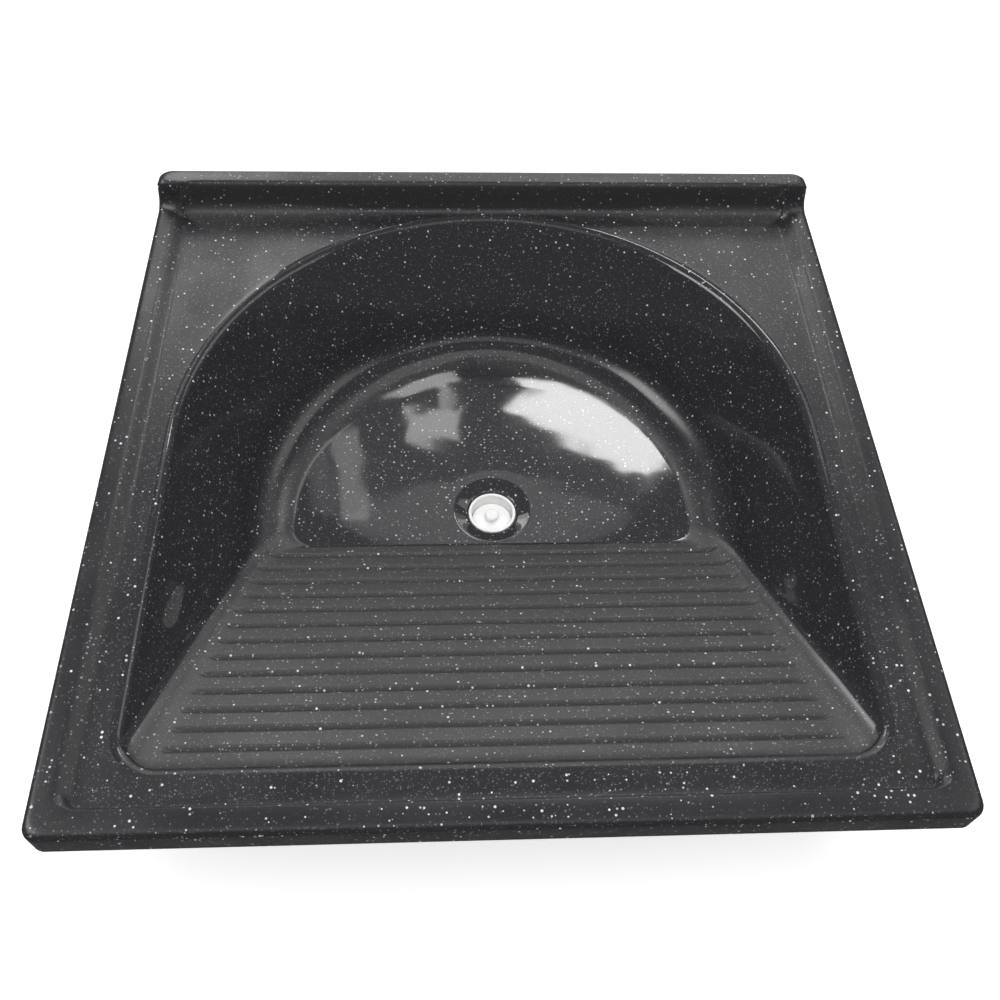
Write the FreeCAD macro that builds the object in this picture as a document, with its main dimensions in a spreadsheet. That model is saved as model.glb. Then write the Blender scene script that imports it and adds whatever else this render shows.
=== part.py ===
import FreeCAD, Part
import math
import os
import re

import Sketcher

# Laundry sink: a one-piece cast tub with a washboard, its waste outlet, plug and tail pipe.
# Frame: x to the right, y towards the wall, z up. The origin is the middle of the lower back edge,
# where the plane that the skirt rests on meets the plane of the wall.
# Lengths are millimetres and angles are degrees. A depth is measured down from the rim's top.

SIZES = {
    # The slab, its skirt, rim and upstand
    "slab_width": 600,
    "slab_depth": 600,
    "slab_corner": 10,
    "skirt_height": 25,
    "casting_wall": 9,
    "rim_width": 19,
    "rim_round": 5,
    "deck_drop": 7,
    "tray_corner": 14,
    "tray_cove": 4,
    "upstand_rise": 24,
    "upstand_thickness": 20,
    "upstand_foot_round": 8,
    # The bowl: a half circle behind the drain, straight sides and a sloped board in front
    "side_deck": 28,
    "back_deck": 10,
    "front_deck": 26,
    "bowl_corner": 28,
    "bowl_edge_round": 5,
    "bowl_depth": 116,
    "wall_draft": 27,
    "floor_fillet": 45,
    "mouth_step": 4.5,
    "board_foot": 35,
    # The washboard's grooves
    "groove_count": 13,
    "groove_width": 6,
    "groove_depth": 2.5,
    "groove_round": 2.4,
    "groove_end_margin": 20,
    "groove_top_margin": 16,
    # The drain hole and the boss under it
    "drain_bore": 42,
    "recess_diameter": 62,
    "recess_depth": 3.5,
    "recess_round": 4,
    "hole_round": 1,
    "boss_diameter": 98,
    "boss_height": 7,
    "boss_overlap": 0.8,
    # The outlet, fixed from below
    "gasket_thickness": 2.5,
    "flange_diameter": 94,
    "flange_thickness": 6,
    "sleeve_clearance": 0.4,
    "sleeve_set_down": 1,
    "sleeve_bore": 36,
    "seat_bore": 30,
    "seat_drop": 18,
    "spigot_diameter": 41.9,
    "spigot_length": 24,
    # The screws that hold the outlet and the inserts that they enter
    "screw_count": 4,
    "screw_circle": 74,
    "screw_angle": 45,
    "screw_diameter": 5,
    "screw_length": 16,
    "screw_clearance": 0.3,
    "head_diameter": 9.5,
    "head_height": 3.6,
    "socket_width": 3,
    "socket_depth": 2,
    "washer_diameter": 11,
    "washer_thickness": 1,
    "insert_diameter": 7.4,
    "insert_length": 10,
    # The plug, with its seal and its pull
    "plug_clearance": 0.4,
    "plug_thickness": 5,
    "plug_seal_thickness": 2,
    "plug_boss_diameter": 24,
    "plug_boss_height": 4,
    "pull_stem_diameter": 5,
    "pull_neck_height": 4,
    "pull_knob_diameter": 12,
    "pull_knob_height": 5,
    "pull_knob_round": 1.5,
    # The tail pipe, its seal and the nut that holds it
    "tail_diameter": 38,
    "tail_wall": 2.5,
    "tail_free_length": 40,
    "tail_seal_thickness": 3,
    "collar_diameter": 42,
    "collar_thickness": 3,
    "neck_rise": 0.5,
    "neck_length": 5,
    "thread_clearance": 0.3,
    "nut_wall": 5,
    "nut_height": 24,
    "nut_lip": 3,
}

# Values that follow from the sizes above
DERIVED = {
    "bowl_radius": "slab_width / 2 - rim_width - side_deck",
    "drain_from_wall": "upstand_thickness + back_deck + bowl_radius",
    "bowl_front": "slab_depth - drain_from_wall - rim_width - front_deck",
    "mouth_inset": "mouth_step * tan(wall_draft)",
    "board_rise": "bowl_depth - deck_drop - mouth_step",
    "board_run": "bowl_front - mouth_inset - board_foot",
    "board_slope": "atan(board_rise / board_run)",
    "board_length": "board_rise / sin(board_slope)",
    "groove_pitch": "(board_length - groove_top_margin) / groove_count",
    "floor_flat": "bowl_radius - (bowl_depth - deck_drop) * tan(wall_draft)"
    " - floor_fillet * tan(45 - wall_draft / 2)",
    "boss_face": "bowl_depth + casting_wall + boss_height",
    "sleeve_top": "bowl_depth + recess_depth + sleeve_set_down",
    "sleeve_diameter": "drain_bore - 2 * sleeve_clearance",
    "flange_top": "boss_face + gasket_thickness",
    "flange_low": "flange_top + flange_thickness",
    "spigot_end": "flange_low + spigot_length",
    "seat_level": "sleeve_top + seat_drop",
    "screw_bearing": "flange_low + washer_thickness",
    "screw_hole": "screw_diameter + 2 * screw_clearance",
    "plug_diameter": "sleeve_bore - 2 * plug_clearance",
    "plug_low": "seat_level - plug_seal_thickness",
    "plug_boss_low": "plug_low + plug_boss_height",
    "collar_top": "spigot_end + tail_seal_thickness",
    "collar_low": "collar_top + collar_thickness",
    "neck_diameter": "tail_diameter + 2 * neck_rise",
    "neck_end": "collar_low + neck_length",
    "nut_low": "collar_low + nut_lip",
    "tail_end": "nut_low + tail_free_length",
    "tail_bore": "tail_diameter - 2 * tail_wall",
    "nut_thread": "collar_diameter + 2 * thread_clearance",
    "nut_lip_bore": "neck_diameter + 2 * thread_clearance",
}

START, END, CENTRE = 1, 2, 3
ORIGIN, HORIZONTAL_AXIS, VERTICAL_AXIS = -1, -1, -2
SLACK = 0.01

doc = FreeCAD.newDocument("laundry_sink")
sheet = doc.addObject("Spreadsheet::Sheet", "Sizes")


def formula(text):
    """The text with each size's name turned into a reference to its cell."""
    names = SIZES.keys() | DERIVED.keys()
    return re.sub(r"[a-z]\w*", lambda word: "Sizes." * (word[0] in names) + word[0], text)


def value(text):
    """The number that a formula gives now."""
    return float(sheet.evalExpression(formula(text)))


def bind(thing, prop, text):
    thing.setExpression(prop, formula(text))


def fill_sheet():
    for row, (name, number) in enumerate(SIZES.items(), start=1):
        sheet.set(f"A{row}", name)
        sheet.set(f"B{row}", str(number))
        sheet.setAlias(f"B{row}", name)
    for row, (name, text) in enumerate(DERIVED.items(), start=len(SIZES) + 1):
        sheet.set(f"A{row}", name)
        sheet.set(f"B{row}", "=" + text)
        sheet.setAlias(f"B{row}", name)
        doc.recompute()


# Sketches


def origin_feature(body, role):
    return next(part for part in body.Origin.OriginFeatures if part.Role == role)


def new_body(label):
    body = doc.addObject("PartDesign::Body", label)
    body.Label = label
    body.AllowCompound = True
    return body


def new_sketch(body, name, plane="XY_Plane", x="0", y="0", z="0"):
    """An empty sketch on an origin plane, moved by the offsets in that plane's own axes."""
    sketch = body.newObject("Sketcher::SketchObject", name)
    sketch.AttachmentSupport = (origin_feature(body, plane), "")
    sketch.MapMode = "FlatFace"
    for axis, text in zip("xyz", (x, y, z)):
        bind(sketch, f"AttachmentOffset.Base.{axis}", text)
    return sketch


def dimension(sketch, name, text, kind, *where):
    """A named constraint whose value follows a formula."""
    index = sketch.addConstraint(Sketcher.Constraint(kind, *where, value(text)))
    sketch.renameConstraint(index, name)
    bind(sketch, f"Constraints.{name}", text)


def line(sketch, start, end):
    return sketch.addGeometry(Part.LineSegment(FreeCAD.Vector(*start, 0), FreeCAD.Vector(*end, 0)))


def arc(sketch, centre, radius, start_angle, end_angle):
    circle = Part.Circle(FreeCAD.Vector(*centre, 0), FreeCAD.Vector(0, 0, 1), radius)
    angles = math.radians(start_angle), math.radians(end_angle)
    return sketch.addGeometry(Part.ArcOfCircle(circle, *angles))


def join_smoothly(sketch, chain):
    """Ties each piece of a closed chain to the next with a common tangent."""
    for first, second in zip(chain, chain[1:] + chain[:1]):
        sketch.addConstraint(Sketcher.Constraint("Tangent", first, END, second, START))


def circle_sketch(sketch, diameter):
    circle = Part.Circle(FreeCAD.Vector(0, 0, 0), FreeCAD.Vector(0, 0, 1), value(diameter) / 2)
    index = sketch.addGeometry(circle)
    sketch.addConstraint(Sketcher.Constraint("Coincident", index, CENTRE, ORIGIN, START))
    dimension(sketch, "diameter", diameter, "Diameter", index)
    return sketch


def rounded_rectangle(sketch, half_width, half_depth, corner):
    """A rectangle about the sketch's origin, with equal round corners."""
    wide, deep, radius = value(half_width), value(half_depth), value(corner)
    x, y = wide - radius, deep - radius
    front = line(sketch, (-x, -deep), (x, -deep))
    front_right = arc(sketch, (x, -y), radius, 270, 360)
    right = line(sketch, (wide, -y), (wide, y))
    back_right = arc(sketch, (x, y), radius, 0, 90)
    back = line(sketch, (x, deep), (-x, deep))
    back_left = arc(sketch, (-x, y), radius, 90, 180)
    left = line(sketch, (-wide, y), (-wide, -y))
    front_left = arc(sketch, (-x, -y), radius, 180, 270)
    join_smoothly(sketch, [front, front_right, right, back_right, back, back_left, left, front_left])
    for edge in (front, back):
        sketch.addConstraint(Sketcher.Constraint("Horizontal", edge))
    for edge in (right, left):
        sketch.addConstraint(Sketcher.Constraint("Vertical", edge))
    for corner_arc in (back_right, back_left, front_left):
        sketch.addConstraint(Sketcher.Constraint("Equal", front_right, corner_arc))
    dimension(sketch, "to_right", half_width, "DistanceX", ORIGIN, START, right, START)
    dimension(sketch, "to_left", half_width, "DistanceX", left, START, ORIGIN, START)
    dimension(sketch, "to_back", half_depth, "DistanceY", ORIGIN, START, back, START)
    dimension(sketch, "to_front", half_depth, "DistanceY", front, START, ORIGIN, START)
    dimension(sketch, "corner", corner, "Radius", front_right)
    return sketch


def bowl_outline(sketch, half_width, front, corner):
    """A half circle behind the origin, straight sides, and a straight front with round corners."""
    wide, ahead, radius = value(half_width), value(front), value(corner)
    x, y = wide - radius, ahead - radius
    front_edge = line(sketch, (-x, -ahead), (x, -ahead))
    right_corner = arc(sketch, (x, -y), radius, 270, 360)
    right = line(sketch, (wide, -y), (wide, 0))
    back_right = arc(sketch, (0, 0), wide, 0, 90)
    back_left = arc(sketch, (0, 0), wide, 90, 180)
    left = line(sketch, (-wide, 0), (-wide, -y))
    left_corner = arc(sketch, (-x, -y), radius, 180, 270)
    join_smoothly(
        sketch, [front_edge, right_corner, right, back_right, back_left, left, left_corner]
    )
    sketch.addConstraint(Sketcher.Constraint("Horizontal", front_edge))
    sketch.addConstraint(Sketcher.Constraint("Vertical", right))
    sketch.addConstraint(Sketcher.Constraint("Vertical", left))
    sketch.addConstraint(Sketcher.Constraint("Equal", right_corner, left_corner))
    sketch.addConstraint(Sketcher.Constraint("Coincident", back_right, CENTRE, ORIGIN, START))
    sketch.addConstraint(Sketcher.Constraint("PointOnObject", back_right, END, VERTICAL_AXIS))
    dimension(sketch, "half_width", half_width, "Radius", back_right)
    dimension(sketch, "front", front, "DistanceY", front_edge, START, ORIGIN, START)
    dimension(sketch, "corner", corner, "Radius", right_corner)
    return sketch


def turned_outline(sketch, points):
    """A closed outline of straight lines through (radius, height) points, none of them negative."""
    places = [(value(radius), value(height)) for radius, height in points]
    edges = [line(sketch, *pair) for pair in zip(places, places[1:] + places[:1])]
    for first, second in zip(edges, edges[1:] + edges[:1]):
        sketch.addConstraint(Sketcher.Constraint("Coincident", first, END, second, START))
    for number, (edge, (radius, height)) in enumerate(zip(edges, points)):
        if radius == "0":
            sketch.addConstraint(Sketcher.Constraint("PointOnObject", edge, START, VERTICAL_AXIS))
        else:
            dimension(sketch, f"radius_{number}", radius, "DistanceX", ORIGIN, START, edge, START)
        if height == "0":
            sketch.addConstraint(Sketcher.Constraint("PointOnObject", edge, START, HORIZONTAL_AXIS))
        else:
            dimension(sketch, f"height_{number}", height, "DistanceY", ORIGIN, START, edge, START)
    return sketch


# Features


def pad(body, name, sketch, length, down=False):
    feature = body.newObject("PartDesign::Pad", name)
    feature.Profile = sketch
    feature.Reversed = down
    bind(feature, "Length", length)
    doc.recompute()
    return feature


def pocket(body, name, sketch, length, up=False, taper=None):
    feature = body.newObject("PartDesign::Pocket", name)
    feature.Profile = sketch
    feature.Reversed = up
    bind(feature, "Length", length)
    if taper:
        bind(feature, "TaperAngle", taper)
    doc.recompute()
    return feature


def loft(body, name, kind, sketches, ruled):
    feature = body.newObject(f"PartDesign::{kind}", name)
    feature.Profile = sketches[0]
    feature.Sections = [(sketch, [""]) for sketch in sketches[1:]]
    feature.Ruled = ruled
    doc.recompute()
    return feature


def revolve(body, name, kind, sketch):
    feature = body.newObject(f"PartDesign::{kind}", name)
    feature.Profile = sketch
    feature.ReferenceAxis = (sketch, ["V_Axis"])
    feature.Angle = 360
    doc.recompute()
    return feature


def fillet(body, name, radius, test):
    """Rounds each edge of the body so far that passes the test."""
    base = body.Tip
    names = [f"Edge{i}" for i, edge in enumerate(base.Shape.Edges, start=1) if test(edge)]
    feature = body.newObject("PartDesign::Fillet", name)
    feature.Base = (base, names)
    bind(feature, "Radius", radius)
    doc.recompute()
    return feature


def around_axis(body, name, original, count):
    """Repeats a feature evenly around the body's z axis, which is the drain's axis."""
    feature = body.newObject("PartDesign::PolarPattern", name)
    feature.Originals = [original]
    feature.Axis = (origin_feature(body, "Z_Axis"), [""])
    feature.Angle = 360
    bind(feature, "Occurrences", count)
    body.Tip = feature
    doc.recompute()
    return feature


def within(edge, low, high):
    """Whether an edge lies inside a box given by its low and high corners."""
    box = edge.BoundBox
    lows = (box.XMin, box.YMin, box.ZMin)
    highs = (box.XMax, box.YMax, box.ZMax)
    return all(a >= b - SLACK for a, b in zip(lows, low)) and all(
        a <= b + SLACK for a, b in zip(highs, high)
    )


# The casting, in a frame of its own whose z axis is the drain's axis


def plain_rectangle(sketch, half_width, half_depth):
    """A rectangle about the sketch's origin, with square corners."""
    wide, deep = value(half_width), value(half_depth)
    corners = [(-wide, -deep), (wide, -deep), (wide, deep), (-wide, deep)]
    edges = [line(sketch, *pair) for pair in zip(corners, corners[1:] + corners[:1])]
    for first, second in zip(edges, edges[1:] + edges[:1]):
        sketch.addConstraint(Sketcher.Constraint("Coincident", first, END, second, START))
    front, right, back, left = edges
    for edge in (front, back):
        sketch.addConstraint(Sketcher.Constraint("Horizontal", edge))
    for edge in (right, left):
        sketch.addConstraint(Sketcher.Constraint("Vertical", edge))
    dimension(sketch, "to_right", half_width, "DistanceX", ORIGIN, START, right, START)
    dimension(sketch, "to_left", half_width, "DistanceX", left, START, ORIGIN, START)
    dimension(sketch, "to_back", half_depth, "DistanceY", ORIGIN, START, back, START)
    dimension(sketch, "to_front", half_depth, "DistanceY", front, START, ORIGIN, START)
    return sketch


def slab_with_rim(body):
    """The square slab with its upstand, rim, sunk deck and hollow underside."""
    middle = "drain_from_wall - slab_depth / 2"
    block = new_sketch(body, "slab_outline", y=middle, z="-skirt_height")
    rounded_rectangle(block, "slab_width / 2", "slab_depth / 2", "slab_corner")
    pad(body, "slab", block, "skirt_height + upstand_rise")
    rim = new_sketch(body, "rim_outline", y=f"{middle} - upstand_thickness / 2", z="upstand_rise")
    plain_rectangle(rim, "slab_width / 2 + rim_width", "(slab_depth - upstand_thickness) / 2")
    pocket(body, "rim_level", rim, "upstand_rise")
    tray = new_sketch(body, "tray_outline", y=f"{middle} + (rim_width - upstand_thickness) / 2")
    tray_half_depth = "(slab_depth - rim_width - upstand_thickness) / 2"
    rounded_rectangle(tray, "slab_width / 2 - rim_width", tray_half_depth, "tray_corner")
    pocket(body, "tray", tray, "deck_drop")
    hollow = new_sketch(body, "hollow_outline", y=middle, z="-skirt_height")
    hollow_halves = "slab_width / 2 - casting_wall", "slab_depth / 2 - casting_wall"
    rounded_rectangle(hollow, *hollow_halves, "slab_corner")
    pocket(body, "hollow", hollow, "skirt_height - deck_drop - casting_wall", up=True)


def slab_rounding(body):
    """Rounds the slab's top edges and the coves at the foot of the rim and the upstand."""
    half, back = value("slab_width / 2"), value("drain_from_wall")
    front, face = back - value("slab_depth"), back - value("upstand_thickness")
    top, deck, corner = value("upstand_rise"), -value("deck_drop"), value("slab_corner")

    def at_upstand_foot(edge):
        return within(edge, (-half, face, 0), (half, face, 0))

    def around_deck(edge):
        return within(edge, (-half, front, deck), (half, back, deck))

    def on_outside(edge):
        box = edge.BoundBox
        at_front = within(edge, (-half, front, 0), (half, front + corner, 0))
        at_top = within(edge, (-half, front, top), (half, back, top))
        at_side = box.XLength < SLACK and abs(abs(box.XMin) - half) < SLACK and box.ZMin > -SLACK
        return at_front or at_top or at_side

    fillet(body, "upstand_foot", "upstand_foot_round", at_upstand_foot)
    fillet(body, "deck_cove", "tray_cove", around_deck)
    fillet(body, "outer_round", "rim_round", on_outside)


def bowl_section(body, name, depth, half_width, offset):
    """A level outline of the bowl at a depth; an offset gives the outside of the casting."""
    ahead = (
        f"board_foot + {offset} * tan(board_slope / 2)"
        f" + (bowl_depth + {offset} - ({depth})) / tan(board_slope)"
    )
    sketch = new_sketch(body, name, z=f"-({depth})")
    return bowl_outline(sketch, half_width, ahead, f"bowl_corner - mouth_inset + {offset}")


def bowl_sections(body, name, top_depth, offset):
    """Outlines from the bowl's top down its straight wall and round into its level floor."""
    rounding_steps = 4
    top_half = (
        f"bowl_radius - (({top_depth}) - deck_drop) * tan(wall_draft) + {offset} / cos(wall_draft)"
    )
    sections = [bowl_section(body, f"{name}_top", top_depth, top_half, offset)]
    for step in range(rounding_steps + 1):
        turn = f"(90 - wall_draft) * {1 - step / rounding_steps}"
        depth = f"bowl_depth - floor_fillet + (floor_fillet + {offset}) * cos({turn})"
        half_width = f"floor_flat + (floor_fillet + {offset}) * sin({turn})"
        sections.append(bowl_section(body, f"{name}_{step}", depth, half_width, offset))
    return sections


def bowl(body):
    """Adds the bowl's outside and the drain's boss under the deck, then cuts the inside out."""
    shell = bowl_sections(body, "shell", "deck_drop + casting_wall / 2", "casting_wall")
    loft(body, "shell_wall", "AdditiveLoft", shell[:2], True)
    loft(body, "shell_floor", "AdditiveLoft", shell[1:], False)
    boss = circle_sketch(new_sketch(body, "boss_outline", z="-boss_face"), "boss_diameter")
    pad(body, "boss", boss, "boss_height + casting_wall * boss_overlap")
    mouth = new_sketch(body, "mouth_outline", z="-deck_drop")
    bowl_outline(mouth, "bowl_radius", "bowl_front", "bowl_corner")
    pocket(body, "mouth", mouth, "mouth_step", taper="-wall_draft")
    void = bowl_sections(body, "void", "deck_drop + mouth_step", "0")
    loft(body, "void_wall", "SubtractiveLoft", void[:2], True)
    loft(body, "void_floor", "SubtractiveLoft", void[1:], False)

    wide, deck = value("bowl_radius"), -value("deck_drop")
    ahead = -value("bowl_front")
    fillet(
        body,
        "bowl_edge",
        "bowl_edge_round",
        lambda edge: within(edge, (-wide, ahead, deck), (wide, wide, deck)),
    )


def slot(sketch, number, along, half_length, width):
    """A straight slot with round ends, across the board and a distance up it."""
    radius = value(width) / 2
    y, x = -value(along), value(half_length) - radius
    lower = line(sketch, (-x, y - radius), (x, y - radius))
    right = arc(sketch, (x, y), radius, 270, 450)
    upper = line(sketch, (x, y + radius), (-x, y + radius))
    left = arc(sketch, (-x, y), radius, 90, 270)
    join_smoothly(sketch, [lower, right, upper, left])
    sketch.addConstraint(Sketcher.Constraint("Horizontal", lower))
    sketch.addConstraint(
        Sketcher.Constraint("Symmetric", left, CENTRE, right, CENTRE, VERTICAL_AXIS)
    )
    reach = f"{half_length} - {width} / 2"
    dimension(sketch, f"reach_{number}", reach, "DistanceX", ORIGIN, START, right, CENTRE)
    dimension(sketch, f"along_{number}", along, "DistanceY", right, CENTRE, ORIGIN, START)
    dimension(sketch, f"radius_{number}", f"{width} / 2", "Radius", right)


def washboard(body):
    """Cuts the grooves across the sloped board, each as wide as the bowl is at its level."""
    sketch = new_sketch(body, "groove_outlines")
    raised = "groove_depth * 2"
    tilt = FreeCAD.Rotation(FreeCAD.Vector(-1, 0, 0), value("board_slope"))
    sketch.AttachmentOffset = FreeCAD.Placement(FreeCAD.Vector(0, 0, 0), tilt)
    bind(sketch, "AttachmentOffset.Rotation.Angle", "board_slope")
    bind(sketch, "AttachmentOffset.Base.y", f"{raised} * sin(board_slope) - board_foot")
    bind(sketch, "AttachmentOffset.Base.z", f"{raised} * cos(board_slope) - bowl_depth")
    for number in range(1, int(value("groove_count")) + 1):
        along = f"groove_pitch * {number}"
        wall_height = f"(bowl_depth - deck_drop - {along} * sin(board_slope))"
        half_length = f"bowl_radius - {wall_height} * tan(wall_draft) - groove_end_margin"
        slot(sketch, number, along, half_length, "groove_width")
    pocket(body, "grooves", sketch, f"{raised} + groove_depth")

    slope = math.radians(value("board_slope"))
    upright = FreeCAD.Vector(0, math.sin(slope), math.cos(slope))
    foot = FreeCAD.Vector(0, -value("board_foot"), -value("bowl_depth"))
    depth = value("groove_depth")

    def at_groove_bottom(edge):
        points = [vertex.Point for vertex in edge.Vertexes]
        return all(abs((point - foot).dot(upright) + depth) < SLACK for point in points)

    fillet(body, "groove_bottoms", "groove_round", at_groove_bottom)


def drain(body):
    """Cuts the dished recess and the hole of the drain, and the pockets for the inserts."""
    profile = new_sketch(body, "drain_profile", "XZ_Plane", y="-boss_face - boss_height")
    floor_height = "boss_face + boss_height - bowl_depth"
    turned_outline(
        profile,
        [
            ("0", "0"),
            ("drain_bore / 2", "0"),
            ("drain_bore / 2", f"{floor_height} - recess_depth"),
            ("recess_diameter / 2", floor_height),
            ("recess_diameter / 2", f"{floor_height} + recess_depth"),
            ("0", f"{floor_height} + recess_depth"),
        ],
    )
    revolve(body, "drain_hole", "Groove", profile)
    floor = -value("bowl_depth")

    def ring_edge(edge, diameter, height):
        half = value(diameter) / 2
        return within(edge, (-half, -half, height), (half, half, height))

    fillet(body, "recess_edge", "recess_round", lambda edge: ring_edge(edge, "recess_diameter", floor))
    hole_height = floor - value("recess_depth")
    fillet(body, "hole_edge", "hole_round", lambda edge: ring_edge(edge, "drain_bore", hole_height))
    insert = new_sketch(
        body,
        "insert_outline",
        x="screw_circle / 2 * cos(screw_angle)",
        y="screw_circle / 2 * sin(screw_angle)",
        z="-boss_face",
    )
    circle_sketch(insert, "insert_diameter")
    first = pocket(body, "insert_pocket", insert, "insert_length", up=True)
    around_axis(body, "insert_pockets", first, "screw_count")


def make_basin():
    body = new_body("basin")
    bind(body, "Placement.Base.y", "-drain_from_wall")
    bind(body, "Placement.Base.z", "skirt_height")
    for step in (slab_with_rim, slab_rounding, bowl, washboard, drain):
        step(body)


# The fittings, each turned about the drain's axis


def fitting(label, low):
    """A body whose z axis is the drain's axis, with its own zero at a depth."""
    body = new_body(label)
    body.Placement = FreeCAD.Placement(
        FreeCAD.Vector(0, 0, 0), FreeCAD.Rotation(FreeCAD.Vector(0, 0, 1), value("screw_angle"))
    )
    bind(body, "Placement.Base.y", "-drain_from_wall")
    bind(body, "Placement.Base.z", f"skirt_height - ({low})")
    bind(body, "Placement.Rotation.Angle", "screw_angle")
    return body


def turned(label, low, points):
    """A fitting turned from an outline of (radius, height) points."""
    body = fitting(label, low)
    profile = turned_outline(new_sketch(body, f"{label}_profile", "XZ_Plane"), points)
    revolve(body, f"{label}_turning", "Revolution", profile)
    return body


def ring(label, low, outer, inner, height):
    radii = f"({outer}) / 2", f"({inner}) / 2"
    points = [(radii[1], "0"), (radii[0], "0"), (radii[0], height), (radii[1], height)]
    return turned(label, low, points)


def screw_holes(body, label, height):
    """Cuts the screws' clearance holes down through a fitting from a height."""
    outline = new_sketch(body, f"{label}_hole", x="screw_circle / 2", z=height)
    first = pocket(body, f"{label}_first_hole", circle_sketch(outline, "screw_hole"), height)
    around_axis(body, f"{label}_holes", first, "screw_count")


def fasteners(label, low, points):
    """A set of equal turned pieces around the screw circle."""
    body = fitting(label, low)
    sketch = new_sketch(body, f"{label}_profile", "XZ_Plane", x="screw_circle / 2")
    first = revolve(body, f"{label}_first", "Revolution", turned_outline(sketch, points))
    around_axis(body, f"{label}_all", first, "screw_count")
    return body


def make_outlet():
    ring("outlet_gasket", "flange_top", "flange_diameter", "drain_bore", "gasket_thickness")
    screw_holes(doc.getObject("outlet_gasket"), "outlet_gasket", "gasket_thickness")
    flange_height = "spigot_length + flange_thickness"
    sleeve_height = "spigot_end - sleeve_top"
    seat_height = "spigot_end - seat_level"
    body = turned(
        "outlet_body",
        "spigot_end",
        [
            ("seat_bore / 2", "0"),
            ("spigot_diameter / 2", "0"),
            ("spigot_diameter / 2", "spigot_length"),
            ("flange_diameter / 2", "spigot_length"),
            ("flange_diameter / 2", flange_height),
            ("sleeve_diameter / 2", flange_height),
            ("sleeve_diameter / 2", sleeve_height),
            ("sleeve_bore / 2", sleeve_height),
            ("sleeve_bore / 2", seat_height),
            ("seat_bore / 2", seat_height),
        ],
    )
    screw_holes(body, "outlet_body", flange_height)


def make_fasteners():
    fasteners(
        "threaded_inserts",
        "boss_face",
        [
            ("screw_diameter / 2", "0"),
            ("insert_diameter / 2", "0"),
            ("insert_diameter / 2", "insert_length"),
            ("screw_diameter / 2", "insert_length"),
        ],
    )
    fasteners(
        "screw_washers",
        "screw_bearing",
        [
            ("screw_hole / 2", "0"),
            ("washer_diameter / 2", "0"),
            ("washer_diameter / 2", "washer_thickness"),
            ("screw_hole / 2", "washer_thickness"),
        ],
    )
    fasteners(
        "outlet_screws",
        "screw_bearing + head_height",
        [
            ("0", "socket_depth"),
            ("socket_width / 2", "socket_depth"),
            ("socket_width / 2", "0"),
            ("head_diameter / 2", "0"),
            ("head_diameter / 2", "head_height"),
            ("screw_diameter / 2", "head_height"),
            ("screw_diameter / 2", "head_height + screw_length"),
            ("0", "head_height + screw_length"),
        ],
    )


def make_plug():
    disc_top = "plug_boss_height + plug_thickness"
    turned(
        "plug",
        "plug_boss_low",
        [
            ("pull_stem_diameter / 2", "0"),
            ("plug_boss_diameter / 2", "0"),
            ("plug_boss_diameter / 2", "plug_boss_height"),
            ("plug_diameter / 2", "plug_boss_height"),
            ("plug_diameter / 2", disc_top),
            ("pull_stem_diameter / 2", disc_top),
        ],
    )
    ring("plug_seal", "seat_level", "plug_diameter", "plug_boss_diameter", "plug_seal_thickness")
    neck_top = f"{disc_top} + pull_neck_height"
    pull = turned(
        "plug_pull",
        "plug_boss_low",
        [
            ("0", "0"),
            ("pull_stem_diameter / 2", "0"),
            ("pull_stem_diameter / 2", neck_top),
            ("pull_knob_diameter / 2", neck_top),
            ("pull_knob_diameter / 2", f"{neck_top} + pull_knob_height"),
            ("0", f"{neck_top} + pull_knob_height"),
        ],
    )
    knob = value("pull_knob_diameter / 2")
    fillet(
        pull,
        "plug_pull_round",
        "pull_knob_round",
        lambda edge: edge.BoundBox.XMax > knob - SLACK and edge.BoundBox.ZLength < SLACK,
    )


def hexagon(sketch, across_flats):
    """A regular hexagon about the sketch's origin, with two level sides."""
    flat = value(across_flats) / 2
    reach = flat / math.cos(math.radians(30))
    angles = [math.radians(60 * corner) for corner in range(6)]
    corners = [(reach * math.cos(angle), reach * math.sin(angle)) for angle in angles]
    edges = [line(sketch, *pair) for pair in zip(corners, corners[1:] + corners[:1])]
    circle = Part.Circle(FreeCAD.Vector(0, 0, 0), FreeCAD.Vector(0, 0, 1), reach)
    through_corners = sketch.addGeometry(circle, True)
    sketch.addConstraint(Sketcher.Constraint("Coincident", through_corners, CENTRE, ORIGIN, START))
    for first, second in zip(edges, edges[1:] + edges[:1]):
        sketch.addConstraint(Sketcher.Constraint("Coincident", first, END, second, START))
        sketch.addConstraint(Sketcher.Constraint("PointOnObject", first, START, through_corners))
    for edge in edges[1:]:
        sketch.addConstraint(Sketcher.Constraint("Equal", edges[0], edge))
    sketch.addConstraint(Sketcher.Constraint("PointOnObject", edges[0], START, HORIZONTAL_AXIS))
    dimension(sketch, "reach", f"({across_flats}) / 2 / cos(30)", "Radius", through_corners)
    return sketch


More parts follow.
